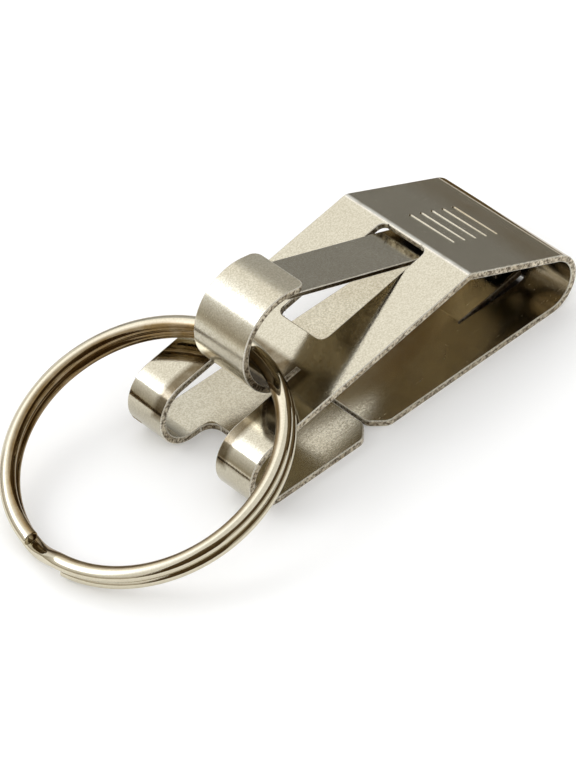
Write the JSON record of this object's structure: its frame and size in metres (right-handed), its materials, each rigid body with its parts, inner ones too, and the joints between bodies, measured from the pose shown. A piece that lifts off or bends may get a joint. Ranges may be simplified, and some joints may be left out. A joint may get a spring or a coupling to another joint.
{
  "type": "belt key clip",
  "caption": "Folded spring-steel belt clip with a ring hook, a sprung gate that closes the hook, and a split key ring.",
  "frame": {"origin": "middle of the back panel's outer face, on the plane that lies against the wearer", "axes": "+X along the clip towards the round bend, away from the ring; +Z out of the belt, away from the wearer; +Y across the clip by the right-hand rule"},
  "size_m": [0.067, 0.0316, 0.02],
  "materials": {
    "clip": "nickel plated spring steel",
    "gate": "nickel plated spring steel",
    "ring": "nickel plated steel wire"
  },
  "bodies": {
    "clip": {"front_panel": "clip", "top_plate": "clip", "round_bend": "clip", "near_foot": "clip", "far_foot": "clip", "foot_plate": "clip", "ring_hook": "clip", "gate_root": "gate"},
    "back": {"back_panel": "clip"},
    "gate": {"gate_arm": "gate"},
    "ring": {"split_ring": "ring"}
  },
  "joints": [
    {"name": "back_flex", "type": "hinge", "parent": "clip", "child": "back", "pos_m": [0.0129, 0, 0], "axis": [0, -1, 0], "range_deg": [0, 10], "stiffness_Nm_per_rad": 4},
    {"name": "gate_press", "type": "hinge", "parent": "clip", "child": "gate", "pos_m": [0.01382, 0, 0.00579], "axis": [0, -1, 0], "range_deg": [0, 7], "stiffness_Nm_per_rad": 1.8},
    {"name": "ring_swing", "type": "hinge", "parent": "clip", "child": "ring", "pos_m": [-0.01913, 0, 0.01388], "axis": [0, 1, 0], "range_deg": [0, 140]}
  ]
}
